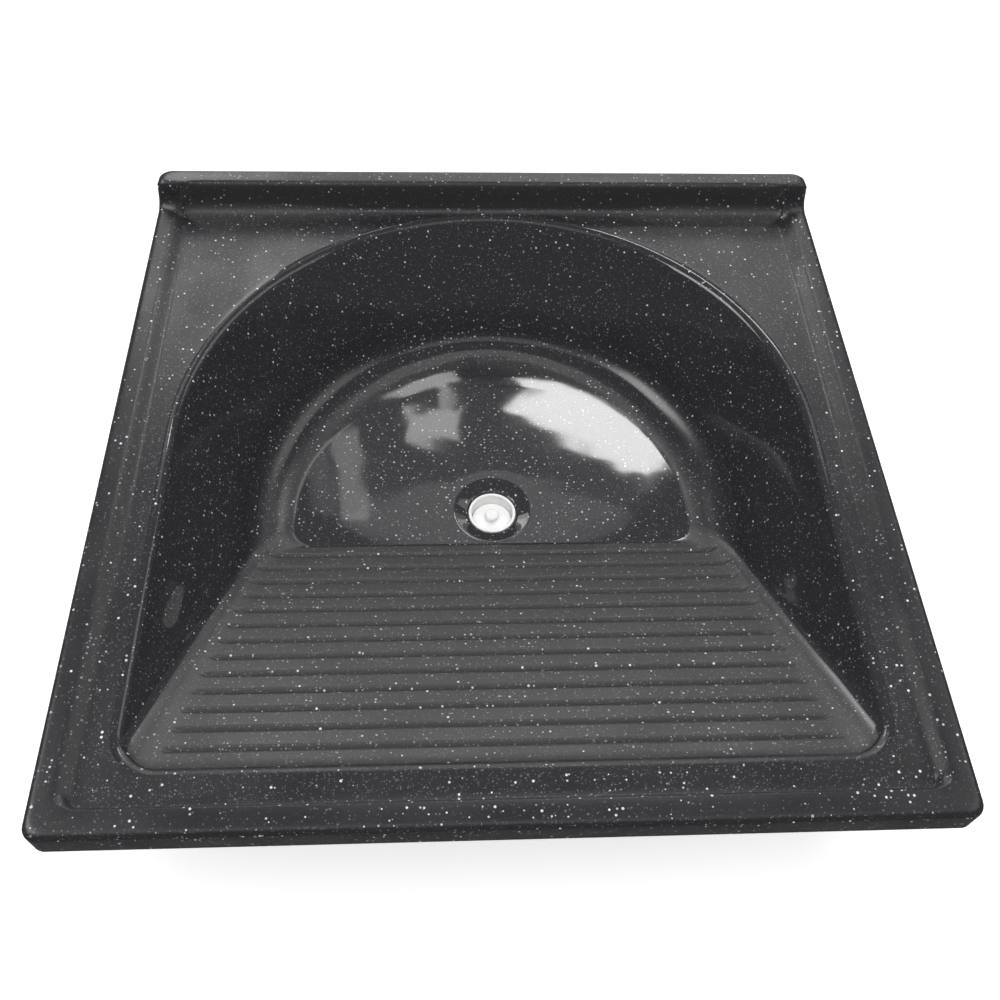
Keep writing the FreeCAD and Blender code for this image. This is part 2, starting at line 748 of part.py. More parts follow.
def make_tail():
    ring("tail_seal", "collar_top", "spigot_diameter", "tail_bore", "tail_seal_thickness")
    free_length, tail_length = "tail_end - neck_end", "tail_end - collar_low"
    collar_height = "tail_end - collar_top"
    turned(
        "tail_pipe",
        "tail_end",
        [
            ("tail_bore / 2", "0"),
            ("tail_diameter / 2", "0"),
            ("tail_diameter / 2", free_length),
            ("neck_diameter / 2", free_length),
            ("neck_diameter / 2", tail_length),
            ("collar_diameter / 2", tail_length),
            ("collar_diameter / 2", collar_height),
            ("tail_bore / 2", collar_height),
        ],
    )
    nut = fitting("tail_nut", "nut_low")
    outline = hexagon(new_sketch(nut, "tail_nut_outline"), "nut_thread + 2 * nut_wall")
    pad(nut, "tail_nut_block", outline, "nut_height")
    thread = circle_sketch(new_sketch(nut, "tail_nut_thread", z="nut_height"), "nut_thread")
    pocket(nut, "tail_nut_bore", thread, "nut_height - nut_lip")
    lip = circle_sketch(new_sketch(nut, "tail_nut_lip", z="nut_lip"), "nut_lip_bore")
    pocket(nut, "tail_nut_lip_bore", lip, "nut_lip")


def save_parts():
    """Checks every object, then writes each piece to a file under its own name."""
    doc.recompute()
    failed = [thing.Name for thing in doc.Objects if {"Invalid", "Error"} & set(thing.State)]
    if failed:
        raise RuntimeError(f"failed objects: {failed}")
    bodies = [thing for thing in doc.Objects if thing.isDerivedFrom("PartDesign::Body")]
    for body in bodies:
        if body.Shape.isNull() or not body.Shape.isValid():
            raise RuntimeError(f"{body.Label} is not a valid shape")
    os.makedirs("parts", exist_ok=True)
    for body in bodies:
        body.Shape.exportStep(f"parts/{body.Label}.step")
        print(body.Label, len(body.Shape.Solids), "solids", round(body.Shape.Volume), "mm3")


fill_sheet()
make_basin()
make_outlet()
make_fasteners()
make_plug()
make_tail()
save_parts()
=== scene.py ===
# %% [markdown]
# # A cast laundry sink
# The real object is one casting of resin and stone chips: a square slab with a raised rim, a low
# upstand along the wall, a round-backed bowl and a sloped washboard. Under the drain hangs a white
# plastic outlet with a lift-out plug. The exact solids come in as a fixed frame, and each step below
# dresses one of them.

# %% Load the solids
import math

import bmesh
import bpy
from mathutils import Euler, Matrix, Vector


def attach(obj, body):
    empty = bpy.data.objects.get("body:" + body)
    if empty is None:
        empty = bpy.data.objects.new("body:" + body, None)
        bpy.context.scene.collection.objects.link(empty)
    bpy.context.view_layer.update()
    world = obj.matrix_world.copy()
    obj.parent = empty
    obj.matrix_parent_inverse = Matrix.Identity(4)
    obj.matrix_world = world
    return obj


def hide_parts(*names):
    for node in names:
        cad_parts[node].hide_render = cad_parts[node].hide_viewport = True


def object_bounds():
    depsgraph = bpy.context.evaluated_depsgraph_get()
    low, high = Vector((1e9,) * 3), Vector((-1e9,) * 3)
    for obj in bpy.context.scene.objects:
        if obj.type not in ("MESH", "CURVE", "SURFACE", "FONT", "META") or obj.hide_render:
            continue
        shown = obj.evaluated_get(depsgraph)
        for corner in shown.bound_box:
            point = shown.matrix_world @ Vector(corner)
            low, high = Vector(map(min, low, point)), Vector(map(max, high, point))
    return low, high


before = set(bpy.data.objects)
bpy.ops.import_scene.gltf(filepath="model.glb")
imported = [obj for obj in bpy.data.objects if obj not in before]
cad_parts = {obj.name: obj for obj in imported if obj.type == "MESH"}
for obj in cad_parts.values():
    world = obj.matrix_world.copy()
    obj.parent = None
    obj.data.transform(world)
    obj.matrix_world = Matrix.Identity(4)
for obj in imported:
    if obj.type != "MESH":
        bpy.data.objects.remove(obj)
cad_box = [[float(value) for value in corner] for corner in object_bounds()]
print("solids:", sorted(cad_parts))
print("box of the solids in metres:", cad_box)

# %% [markdown]
# ## The camera
# The photograph looks down into the bowl from in front of it. The four corners of the slab fix where
# the camera stood: a square of known size can only look like that from one place. A real camera is
# also rolled a little, which the three angles keep.

# %% Place the camera
SENSOR_WIDTH, LENS = 36.0, 38.11
CAMERA_PLACE = (-0.03887, -0.80684, 0.67284)
CAMERA_ANGLES = (35.0044, -1.9863, -2.0994)


def rotation(angles):
    """A rotation from three angles in degrees."""
    return Euler([math.radians(angle) for angle in angles])


scene = bpy.context.scene
camera_data = bpy.data.cameras.new("camera")
camera_data.sensor_width = SENSOR_WIDTH
camera_data.lens = LENS
camera = bpy.data.objects.new("camera", camera_data)
camera.location = CAMERA_PLACE
camera.rotation_euler = rotation(CAMERA_ANGLES)
scene.collection.objects.link(camera)
scene.camera = camera
print("camera at", tuple(camera.location))

# %% [markdown]
# ## The casting
# Black gel-coat shows every facet in its reflections, so the casting needs a smooth and even mesh.
# It could be sculpted or subdivided from a cage, but its outlines are exact: each level cut through
# the bowl is a D shape, and the rim follows a square. So the mesh is a stack of closed rings, like
# the contour lines of a map, from the drain hole up to the rim, over it and back underneath. Every
# ring has the same stations around it, so two rings are joined by one row of four-sided faces.
# Sizes are in millimetres from the drain's axis, and heights count from the rim's top.

# %% Sizes of the casting
SLAB_SIZE, SLAB_CORNER = 600.0, 10.0
SKIRT_HEIGHT, CASTING_WALL = 25.0, 9.0
RIM_WIDTH, RIM_ROUND, LIP_ROUND = 19.0, 5.0, 4.0
UPSTAND_THICKNESS, UPSTAND_RISE, UPSTAND_FOOT = 20.0, 24.0, 8.0
TRAY_CORNER, TIGHT_COVE, WIDE_COVE, DECK_DROP = 14.0, 4.0, 9.0, 7.0
SIDE_DECK, BACK_DECK, FRONT_DECK = 28.0, 10.0, 26.0
BOWL_CORNER, BOWL_DEPTH, BOWL_EDGE = 28.0, 116.0, 8.2
BOARD_FOOT, FOOT_CORNER, MOUTH_STEP = 35.0, 16.0, 4.5
FLOOR_ROUND, BACK_ROUND, BACK_RISE, BACK_SLOPE = 45.0, 18.0, 2.7, 0.12
WALL_DRAFT = math.radians(27)

SLAB_HALF = SLAB_SIZE / 2
BOWL_HALF = SLAB_HALF - RIM_WIDTH - SIDE_DECK
SLAB_BACK = BOWL_HALF + BACK_DECK + UPSTAND_THICKNESS
SLAB_FRONT = SLAB_SIZE - SLAB_BACK
BOWL_FRONT = SLAB_FRONT - RIM_WIDTH - FRONT_DECK
MOUTH_INSET = MOUTH_STEP * math.tan(WALL_DRAFT)
BOARD_RISE = BOWL_DEPTH - DECK_DROP - MOUTH_STEP
BOARD_SLOPE = math.atan2(BOARD_RISE, BOWL_FRONT - MOUTH_INSET - BOARD_FOOT)
BOARD_LENGTH = BOARD_RISE / math.sin(BOARD_SLOPE)
print("board slope in degrees:", round(math.degrees(BOARD_SLOPE), 2))

# %% [markdown]
# A station is a named part of the outline and a share of the way along it. Stations stand closer
# together where the grooves run out and where the board turns up into the side wall. The list goes
# around the right half only, because the left half is its mirror image.

# %% Stations around the right half of a ring
FRONT_STEPS = (
    0, 0.1, 0.2, 0.3, 0.4, 0.5, 0.6, 0.7, 0.78, 0.84, 0.87, 0.89, 0.905, 0.92, 0.935, 0.95,
    0.965, 0.98, 0.99, 1,
)
CORNER_STEPS = (0.035, 0.07, 0.105, 0.14, 0.175, 0.22, 0.3, 0.4, 0.5, 0.6, 0.7, 0.8, 0.9, 1)
CLIMB_FOOT, CLIMB_FACE, CLIMB_TOP = 8, (0.35, 0.7, 1.0), 6
STEP_COUNTS = {
    "side": 10,
    "arch": 20,
    "climb": CLIMB_FOOT + len(CLIMB_FACE) + CLIMB_TOP,
    "round": 7,
    "back": 18,
}
ARCH_ANGLES = {"arch": (0, 40), "climb": (40, 47), "round": (47, 50), "back": (50, 90)}

stations = [("front", step) for step in FRONT_STEPS]
stations += [("corner", step) for step in CORNER_STEPS]
for part, count in STEP_COUNTS.items():
    stations += [(part, (step + 1) / count) for step in range(count)]
print("stations in half a ring:", len(stations))


# %% The bowl's outline at one level
def front_point(station, half, front, corner):
    """A place on what all outlines share: a straight front, a round corner and a straight side."""
    part, step = station
    turn = step * math.pi / 2
    if part == "front":
        return (half - corner) * step, -front
    if part == "corner":
        return half - corner + corner * math.sin(turn), corner - front - corner * math.cos(turn)
    return half, (corner - front) * (1 - step)


def arch_angle(station):
    """The angle around the half circle behind the drain, and zero in front of it."""
    part, step = station
    if part not in ARCH_ANGLES:
        return 0.0
    low, high = ARCH_ANGLES[part]
    return math.radians(low + (high - low) * step)


def bowl_point(station, half, front, corner, back):
    """A place on the D: the shared front, then a half circle that reaches to the back."""
    if station[0] not in ARCH_ANGLES:
        return front_point(station, half, front, corner)
    angle = arch_angle(station)
    radius = half + (back - half) * math.sin(angle) ** 2
    return radius * math.cos(angle), radius * math.sin(angle)


def bowl_loop(half, front, corner, back=None):
    """The right half of the D, which is round at the back unless it reaches further or less."""
    sizes = half, front, corner, half if back is None else back
    return [bowl_point(station, *sizes) for station in stations]


# %% [markdown]
# At the back corners the rim climbs the end of the upstand. A contour line would jump there, so the
# stations called climb carry a small path of their own: a round foot, an upright face and a round
# top edge. Each place on the path keeps the direction that is up from the surface, and the outer
# edge is rounded against that direction.

# %% The square outlines of the slab
ROUND_SHIFT = 17.0


def slab_point(station, half, front, back, corner):
    """A place on a rectangle with round corners, matched to the bowl's stations."""
    part, step = station
    if part not in ARCH_ANGLES:
        return front_point(station, half, front, corner)
    if part == "arch":
        return half, (back - corner) * step
    if part == "climb":
        turn = step * math.pi / 2
        return half - corner + corner * math.cos(turn), back - corner + corner * math.sin(turn)
    if part == "round":
        return half - corner - ROUND_SHIFT * step, back
    return (half - corner - ROUND_SHIFT) * (1 - step), back


def tray_loop(inset):
    """The edge of the sunk deck, moved inwards by an inset."""
    half, front = SLAB_HALF - RIM_WIDTH, SLAB_FRONT - RIM_WIDTH
    back = SLAB_BACK - UPSTAND_THICKNESS
    sizes = half - inset, front - inset, back - inset, TRAY_CORNER - inset
    return [slab_point(station, *sizes) for station in stations]


def skirt_loop(inset):
    """The slab's foot, moved inwards by an inset; the climb's stations spread along its side."""
    half, front, back = SLAB_HALF - inset, SLAB_FRONT - inset, SLAB_BACK - inset
    start = SLAB_BACK - UPSTAND_THICKNESS - UPSTAND_FOOT
    end = back - SLAB_CORNER
    points = []
    for part, step in stations:
        turn = step * math.pi / 2
        if part == "arch":
            place = half, start * step
        elif part == "climb":
            place = half, start + (end - start) * step
        elif part == "round":
            place = half - SLAB_CORNER * (1 - math.cos(turn)), end + SLAB_CORNER * math.sin(turn)
        elif part == "back":
            place = (half - SLAB_CORNER) * (1 - step), back
        else:
            place = front_point((part, step), half, front, SLAB_CORNER)
        points.append(place)
    return points


# %% The path up the end of the upstand
END_LEAN = 3.0


def quarter_turns(count):
    """Angles from 0 to 90 degrees in even steps."""
    return [step / count * math.pi / 2 for step in range(count + 1)]


def climb_path():
    """Places (y, height, and the two parts of the upward direction) along the climb."""
    face = SLAB_BACK - UPSTAND_THICKNESS
    foot, top = UPSTAND_FOOT, RIM_ROUND
    path = []
    for turn in quarter_turns(CLIMB_FOOT)[1:]:
        sine, cosine = math.sin(turn), math.cos(turn)
        path.append((face - foot + foot * sine, foot - foot * cosine, -sine, cosine))
    for share in CLIMB_FACE:
        path.append((face, foot + (UPSTAND_RISE - top - foot) * share, -1.0, 0.0))
    for turn in quarter_turns(CLIMB_TOP)[1:]:
        sine, cosine = math.sin(turn), math.cos(turn)
        path.append((face + top - top * cosine, UPSTAND_RISE - top + top * sine, -cosine, sine))
    return path


def rim_edge():
    """The rim's outer edge before rounding: place, height and upward direction at each station."""
    path = climb_path()
    edge = []
    for (part, step), (x, y) in zip(stations, skirt_loop(0)):
        if part == "climb":
            place, height, lean_y, lean_z = path[round(step * len(path)) - 1]
            x, y = SLAB_HALF, place
        else:
            height = UPSTAND_RISE if part in ("round", "back") else 0.0
            lean_y, lean_z = 0.0, 1.0
        x -= END_LEAN * x / SLAB_HALF * height / UPSTAND_RISE
        edge.append((x, y, height, lean_y, lean_z))
    return edge


outer_edge = rim_edge()
lifts = [height for _, _, height, _, _ in outer_edge]
print("highest lift of the rim in millimetres:", max(lifts))

# %% [markdown]
# The bowl is polished, while the board and the deck come out of the mould a little satin. Each ring
# therefore also keeps how satin it is, from 0 to 1, and the finish reads that number later, for the
# gloss and for a painted tone: painted light on the board and the upstand, painted shade in the
# grooves. The stack starts with the wall of the drain hole and the shallow dish around it.

# %% Start the stack with the drain
POLISH, DECK_SATIN, RIM_SATIN, FULL_SATIN = 0.0, 0.75, 0.75, 1.0
rings, satin_rings = [], []


def add_ring(ring, satin):
    """Adds half a ring to the stack, with one satin or a list with a satin for each station."""
    rings.append(ring)
    satin_rings.append(satin if isinstance(satin, list) else [satin] * len(ring))


def add_level(loop, height, satin):
    """Adds half a ring that lies at one height."""
    add_ring([(x, y, height) for x, y in loop], satin)


def circle_loop(radius):
    """The right half of a circle about the drain, with as many places as there are stations."""
    count = len(stations) - 1
    angles = [math.pi * (step / count - 0.5) for step in range(count + 1)]
    return [(radius * math.cos(angle), radius * math.sin(angle)) for angle in angles]


# Radius and depth
DRAIN_PROFILE = (
    (21.0, 125.0), (21.0, 121.8), (21.1, 121.1), (21.5, 120.5), (22.2, 120.0), (24.0, 119.3),
    (27.0, 118.2), (30.0, 117.1), (31.5, 116.6), (32.6, 116.25), (33.6, 116.05), (34.6, 116.0),
)
for radius, depth in DRAIN_PROFILE:
    add_level(circle_loop(radius), -depth, POLISH)
dish_edge = circle_loop(DRAIN_PROFILE[-1][0])
print("rings for the drain:", len(rings))

# %% [markdown]
# The floor is level from the dish to the foot of the board. Behind the drain it rises a little before
# it turns up into the wall, and that bends the reflections there.

# %% The bowl's floor
FLOOR_SHARES = (0.1, 0.4, 0.75, 0.96, 0.99)


def between(first, second, share):
    """A loop part of the way from one loop to another."""
    return [
        (a + (c - a) * share, b + (d - b) * share) for (a, b), (c, d) in zip(first, second)
    ]


def straight_wall(depth):
    """The bowl's half width at a depth, if its wall went straight on."""
    return BOWL_HALF - (depth - DECK_DROP) * math.tan(WALL_DRAFT)


def back_half(depth):
    """The bowl's reach behind the drain: a gentle rise of the floor, a tight round, the wall."""
    height = BOWL_DEPTH - depth
    tilt = math.atan(BACK_SLOPE)
    centre = BACK_RISE + BACK_ROUND * math.cos(tilt)
    if height > centre - BACK_ROUND * math.sin(WALL_DRAFT):
        return straight_wall(depth)
    middle = straight_wall(BOWL_DEPTH - centre) - BACK_ROUND / math.cos(WALL_DRAFT)
    if height > BACK_RISE:
        return middle + math.sqrt(BACK_ROUND**2 - (centre - height) ** 2)
    reach = 2 * BACK_RISE / BACK_SLOPE
    start = middle + BACK_ROUND * math.sin(tilt) - reach
    return start + reach * math.sqrt(height / BACK_RISE)


FLOOR_HALF = straight_wall(BOWL_DEPTH) - FLOOR_ROUND * math.tan(math.pi / 4 - WALL_DRAFT / 2)
floor_edge = bowl_loop(FLOOR_HALF, BOARD_FOOT, FOOT_CORNER, back_half(BOWL_DEPTH))
for share in FLOOR_SHARES:
    add_level(between(dish_edge, floor_edge, share), -BOWL_DEPTH, POLISH)
print("rings for the drain and the floor:", len(rings))

# %% [markdown]
# ## The washboard
# The board's level lines are straight, and so are its grooves: each groove runs along the rings. So
# the rings are set close together in a groove and wide apart on the ridge beside it, and the groove
# is pressed in by moving points along the board's own upright. Towards both ends the grooves run out
# to nothing, and the smooth strip beyond them turns up into the bowl's side wall.

# %% Levels up the washboard
GROOVE_COUNT, GROOVE_START, GROOVE_PITCH, GROOVE_DEPTH = 13, 15.5, 18.7, 3.0
GROOVE_HALF, GROOVE_TIP, GROOVE_SPREAD, GROOVE_RUNOUT = 3.4, 193.0, 0.155, 14.0
TIP_TO_WALL, LAST_GAP = 2.0, 0.5
FOOT_LEVELS = (0.0, 0.6, 1.8, 3.6, 6.0, 8.4)
GROOVE_STEPS = (-4.2, -3.2, -2.5, -1.7, -0.9, -0.3, 0.3, 0.9, 1.7, 2.5, 3.2, 4.2, 9.35)
board_levels = list(FOOT_LEVELS)
for groove in range(GROOVE_COUNT):
    board_levels += [GROOVE_START + groove * GROOVE_PITCH + step for step in GROOVE_STEPS]
board_levels = [level for level in board_levels if level < BOARD_LENGTH - LAST_GAP]
board_levels.append(BOARD_LENGTH)
print("levels up the board:", len(board_levels))


# %% The bowl's half width and the grooves
def smooth_step(value, start, end):
    """A share that eases from 0 to 1 while a value goes from a start to an end."""
    share = min(max((value - start) / (end - start), 0.0), 1.0)
    return share * share * (3 - 2 * share)


def wall_half(depth):
    """The bowl's half width at a depth: a straight wall, then the round into the floor."""
    centre = BOWL_DEPTH - FLOOR_ROUND
    if depth < centre + FLOOR_ROUND * math.sin(WALL_DRAFT):
        return straight_wall(depth)
    return FLOOR_HALF + math.sqrt(max(FLOOR_ROUND**2 - (depth - centre) ** 2, 0.0))


def groove_tip(level):
    """How far from the middle the grooves reach at a level up the board."""
    wall = wall_half(BOWL_DEPTH - level * math.sin(BOARD_SLOPE))
    return min(GROOVE_TIP + GROOVE_SPREAD * level, wall - TIP_TO_WALL)


def groove_cut(x, level):
    """How deep the groove is at a place on the board, measured along the board's upright."""
    groove = min(max(round((level - GROOVE_START) / GROOVE_PITCH), 0), GROOVE_COUNT - 1)
    aside = abs(level - GROOVE_START - groove * GROOVE_PITCH)
    shape = 1 - smooth_step(aside, 0.0, GROOVE_HALF)
    tip = groove_tip(level)
    return GROOVE_DEPTH * shape * (1 - smooth_step(abs(x), tip - GROOVE_RUNOUT, tip))


# %% [markdown]
# The board is satin and painted lighter as painted sheen, its grooves are a little smoother and
# painted darker as painted shade, and the side walls are polished.
# The round between floor and wall is half satin, which keeps lamps from drawing sharp lines along it.
# Only behind the drain does its lowest part stay polished, so that reflections there end cleanly.

# %% How satin the bowl is
CORNER_POLISH, GROOVE_POLISH_AND_SHADE, BOARD_FADE = (0.3, 0.9), 0.27, (0.0, 4.0)
FOOT_SATIN, FOOT_FADE = 0.75, (20.0, 60.0)
ROUND_SATIN, ROUND_TOE, MIRROR_REACH = 0.5, 10.0, 3
ROUND_FADE = (BOWL_DEPTH - FLOOR_ROUND, BOWL_DEPTH - ROUND_TOE)
MIRROR_FADE = (BACK_RISE, MIRROR_REACH * BACK_RISE)


def board_satin(station):
    """Satin on the board, fading to polish round the corner to the side wall."""
    part, step = station
    if part == "corner":
        return 1 - smooth_step(step, *CORNER_POLISH)
    return 1.0 if part == "front" else 0.0


def bowl_satin(station, level, depth, cut):
    """Satin at a station and a level: the board's own, or that of the round into the floor."""
    board = board_satin(station) * smooth_step(level, *BOARD_FADE)
    # Less satin in the grooves also darkens their tone: painted shade.
    board *= 1 - GROOVE_POLISH_AND_SHADE * cut / GROOVE_DEPTH
    if level == 0:
        return board
    mirror = 1 - smooth_step(BOWL_DEPTH - depth, *MIRROR_FADE)
    dulled = 1 - mirror * math.sin(arch_angle(station)) ** 2
    turning = ROUND_SATIN * smooth_step(depth, *ROUND_FADE) * dulled
    if station[0] == "corner":
        turning = max(turning, FOOT_SATIN * (1 - smooth_step(level, *FOOT_FADE)))
    return max(board, turning)


# %% Rings of the bowl
for level in board_levels:
    depth = BOWL_DEPTH - level * math.sin(BOARD_SLOPE)
    front = BOARD_FOOT + level * math.cos(BOARD_SLOPE)
    corner = FOOT_CORNER + (BOWL_CORNER - MOUTH_INSET - FOOT_CORNER) * level / BOARD_LENGTH
    loop = bowl_loop(wall_half(depth), front, corner, back_half(depth))
    ring, satin = [], []
    for station, (x, y) in zip(stations, loop):
        cut = groove_cut(x, level) if station[0] in ("front", "corner") else 0.0
        ring.append((x, y - cut * math.sin(BOARD_SLOPE), -depth - cut * math.cos(BOARD_SLOPE)))
        satin.append(bowl_satin(station, level, depth, cut))
    add_ring(ring, satin)
print("rings up to the bowl's mouth:", len(rings))

# %% Rings over the bowl's edge
EDGE_REACH = BOWL_EDGE * math.tan(math.pi / 4 - WALL_DRAFT / 2)
EDGE_ANGLES = range(56, -1, -7)
edge_satin = [DECK_SATIN * board_satin(station) for station in stations]


def edge_loop(offset):
    """The bowl's edge on the deck, moved outwards by an offset."""
    return bowl_loop(BOWL_HALF + offset, BOWL_FRONT + offset, BOWL_CORNER + offset)


for angle in EDGE_ANGLES:
    turn = math.radians(angle)
    offset = EDGE_REACH - BOWL_EDGE * math.sin(turn)
    depth = DECK_DROP + BOWL_EDGE * (1 - math.cos(turn))
    add_level(edge_loop(offset), -depth, edge_satin)
print("rings up to the bowl's edge:", len(rings))

# %% [markdown]
# The step from the deck up to the rim is a soft wave at the sides and a steeper one at the front.
# Under the upstand it is a cove, tight in the middle, where the bowl comes near, and wider towards
# the ends. All of them are written as the same number of rings, and each station takes the wave or
# the cove by how far the rim is lifted there.

# %% Rings of the deck and of the step to the rim
SOFT_WAVE, STEEP_WAVE, WAVE_LIFT = (9.0, 5.0), (2.5, 1.5), 8.0
COVE_WIDENS, COVE_TURNS, COVE_FACE = (110.0, 190.0), quarter_turns(5), (0.35, 0.7)
DECK_SHARES, DECK_LIGHT_AND_SATIN, LIP_STEP = (0.05, 0.3, 0.7), 0.6, 8


def step_loop(inset):
    """The tray's edge moved inwards or, with a negative inset, outwards on the rim."""
    if inset >= 0:
        return tray_loop(inset)
    rim = [(x, y) for x, y, *_ in outer_edge]
    return between(tray_loop(0), rim, -inset / RIM_WIDTH)


def wave_loop(wave, share):
    """The tray's edge part of the way across a wave, from its foot inside to its top outside."""
    inside, outside = wave
    return step_loop(inside - (inside + outside) * share)


def cove_steps(cove):
    """Inset, height and share of the lift for a cove, an upright face and a round lip."""
    top = cove - DECK_DROP
    steps = [
        (cove * (1 - math.sin(turn)), cove * (1 - math.cos(turn)) - DECK_DROP, 0.0)
        for turn in COVE_TURNS
    ]
    steps += [(0.0, top * (1 - share) - LIP_ROUND * share, share) for share in COVE_FACE]
    steps += [
        (-LIP_ROUND * (1 - math.cos(turn)), -LIP_ROUND * (1 - math.sin(turn)), 1.0)
        for turn in COVE_TURNS
    ]
    return steps


def blend(first, second, share):
    """A place part of the way from one place to another."""
    return tuple(a + (b - a) * share for a, b in zip(first, second))


def step_ring(share, tight, wide):
    """One ring of the step: on the wave where the rim is low, on the cove under the upstand."""
    wave_height = -DECK_DROP * (1 - smooth_step(share, 0.0, 1.0))
    soft_loop, steep_loop = wave_loop(SOFT_WAVE, share), wave_loop(STEEP_WAVE, share)
    tight_loop, wide_loop = step_loop(tight[0]), step_loop(wide[0])
    ring = []
    for index, (station, lift) in enumerate(zip(stations, lifts)):
        wave_place = blend(soft_loop[index], steep_loop[index], board_satin(station))
        widening = smooth_step(abs(tight_loop[index][0]), *COVE_WIDENS)
        cove = blend((*tight_loop[index], tight[1]), (*wide_loop[index], wide[1]), widening)
        x, y, z = blend((*wave_place, wave_height), cove, smooth_step(lift, 0.0, WAVE_LIFT))
        ring.append((x, y, z + tight[2] * lift))
    return ring


def upstand_satin_and_light(share):
    """Satin around a ring, fuller by a share at the foot and the front of the upstand, where it also
    paints the resin lighter as painted light.
    """
    full = [share * smooth_step(lift, 0.0, WAVE_LIFT) for lift in lifts]
    return [RIM_SATIN + (FULL_SATIN - RIM_SATIN) * value for value in full]


tight_steps, wide_steps = cove_steps(TIGHT_COVE), cove_steps(WIDE_COVE)
last_step = len(tight_steps) - 1
step_rings = [
    step_ring(step / last_step, tight, wide)
    for step, (tight, wide) in enumerate(zip(tight_steps, wide_steps))
]
deck_start = edge_loop(EDGE_REACH)
deck_end = [(x, y) for x, y, _ in step_rings[0]]
# Towards the upstand the deck, the cove and the upstand's face get more satin and a lighter painted
# tone: painted light.
for share in DECK_SHARES:
    add_level(between(deck_start, deck_end, share), -DECK_DROP, upstand_satin_and_light(DECK_LIGHT_AND_SATIN * share))
for step, ring in enumerate(step_rings):
    add_ring(ring, upstand_satin_and_light(1 - smooth_step(step, LIP_STEP, last_step)))
print("rings up to the rim:", len(rings))

# %% Rings over the rim
RIM_OFFSETS, RIM_STEPS = (9.0, 12.0), 6


def add_rim_ring(offset, drop):
    """Adds a ring across the rim, an offset from the tray's edge and a drop under the rim's top."""
    share = offset / RIM_WIDTH
    ring = []
    for (inner_x, inner_y), (x, y, height, lean_y, lean_z) in zip(tray_loop(0), outer_edge):
        place_x = inner_x + (x - inner_x) * share
        place_y = inner_y + (y - inner_y) * share
        ring.append((place_x, place_y - drop * lean_y, height - drop * lean_z))
    add_ring(ring, RIM_SATIN)


for offset in RIM_OFFSETS:
    add_rim_ring(offset, 0.0)
for turn in quarter_turns(RIM_STEPS):
    offset = RIM_WIDTH - RIM_ROUND * (1 - math.sin(turn))
    add_rim_ring(offset, RIM_ROUND * (1 - math.cos(turn)))
print("rings up to the skirt:", len(rings))

# %% Rings of the skirt and the underside
FOOT_ROUND, FOOT_MIDDLE, FOOT_BREAK, UNDER_COVE = 1.5, 0.45, 1.0, 2.0
UNDER_DECK = -DECK_DROP - CASTING_WALL
SHELL_ROWS, SHELL_PITCH, SHELL_STEPS = 6, 14.0, 8
SHELL_ROUND = FLOOR_ROUND + CASTING_WALL
# Inset and height
SKIRT_PROFILE = (
    (0.0, FOOT_ROUND - SKIRT_HEIGHT),
    (FOOT_MIDDLE, FOOT_MIDDLE - SKIRT_HEIGHT),
    (FOOT_ROUND, -SKIRT_HEIGHT),
    (CASTING_WALL - FOOT_BREAK, -SKIRT_HEIGHT),
    (CASTING_WALL, FOOT_BREAK - SKIRT_HEIGHT),
    (CASTING_WALL, UNDER_DECK - UNDER_COVE),
    (CASTING_WALL + UNDER_COVE, UNDER_DECK),
)
for inset, height in SKIRT_PROFILE:
    add_level(skirt_loop(inset), height, RIM_SATIN)


def add_shell_ring(depth, half):
    """Adds the outside of the bowl at a depth."""
    front = (
        BOARD_FOOT
        + CASTING_WALL * math.tan(BOARD_SLOPE / 2)
        + (BOWL_DEPTH + CASTING_WALL - depth) / math.tan(BOARD_SLOPE)
    )
    corner = BOWL_CORNER - MOUTH_INSET + CASTING_WALL
    add_level(bowl_loop(half, front, corner), -depth, FULL_SATIN)


for row in range(SHELL_ROWS):
    depth = DECK_DROP + CASTING_WALL + row * SHELL_PITCH
    add_shell_ring(depth, straight_wall(depth) + CASTING_WALL / math.cos(WALL_DRAFT))
for step in range(SHELL_STEPS + 1):
    turn = (math.pi / 2 - WALL_DRAFT) * (1 - step / SHELL_STEPS)
    depth = BOWL_DEPTH + CASTING_WALL - SHELL_ROUND * (1 - math.cos(turn))
    add_shell_ring(depth, FLOOR_HALF + SHELL_ROUND * math.sin(turn))
print("rings in all:", len(rings))

# %% [markdown]
# Under the drain the casting has a boss, a thick round pad that the outlet is screwed to. It is a
# short ring of its own whose top is buried in the casting's wall.

# %% The boss
# Radius and depth
BOSS_PROFILE = (
    (21.4, 124.6), (36.0, 124.6), (42.0, 118.2), (48.6, 117.8), (49.0, 118.2), (49.0, 130.8),
    (48.7, 131.6), (48.0, 132.0), (22.0, 132.0), (21.4, 131.4),
)
boss_rings = [[(x, y, -depth) for x, y in circle_loop(radius)] for radius, depth in BOSS_PROFILE]
print("rings of the boss:", len(boss_rings))

# %% [markdown]
# The rings now become a mesh. Blender wants a list of points and a list of faces, each face as the
# numbers of its points. The last step turns all faces outwards and keeps an edge sharp only where two
# faces meet at more than the smooth angle.

# %% Turn rings into a mesh
DRAIN_Y = -SLAB_BACK
MILLIMETRE = 0.001
SMOOTH_ANGLE = math.radians(42)


def both_halves(half_ring):
    """A whole ring: the right half, then the left half as its mirror image."""
    return half_ring + [(-x, y, z) for x, y, z in reversed(half_ring[1:-1])]


def ring_rows(low, low_count, high, high_count):
    """Faces between two neighbouring rings, which start at two point numbers; one may be a point."""
    count = max(low_count, high_count)
    faces = []
    for step in range(count):
        after = (step + 1) % count
        corners = [low + step % low_count, low + after % low_count]
        corners += [high + after % high_count, high + step % high_count]
        faces.append(tuple(dict.fromkeys(corners)))
    return faces


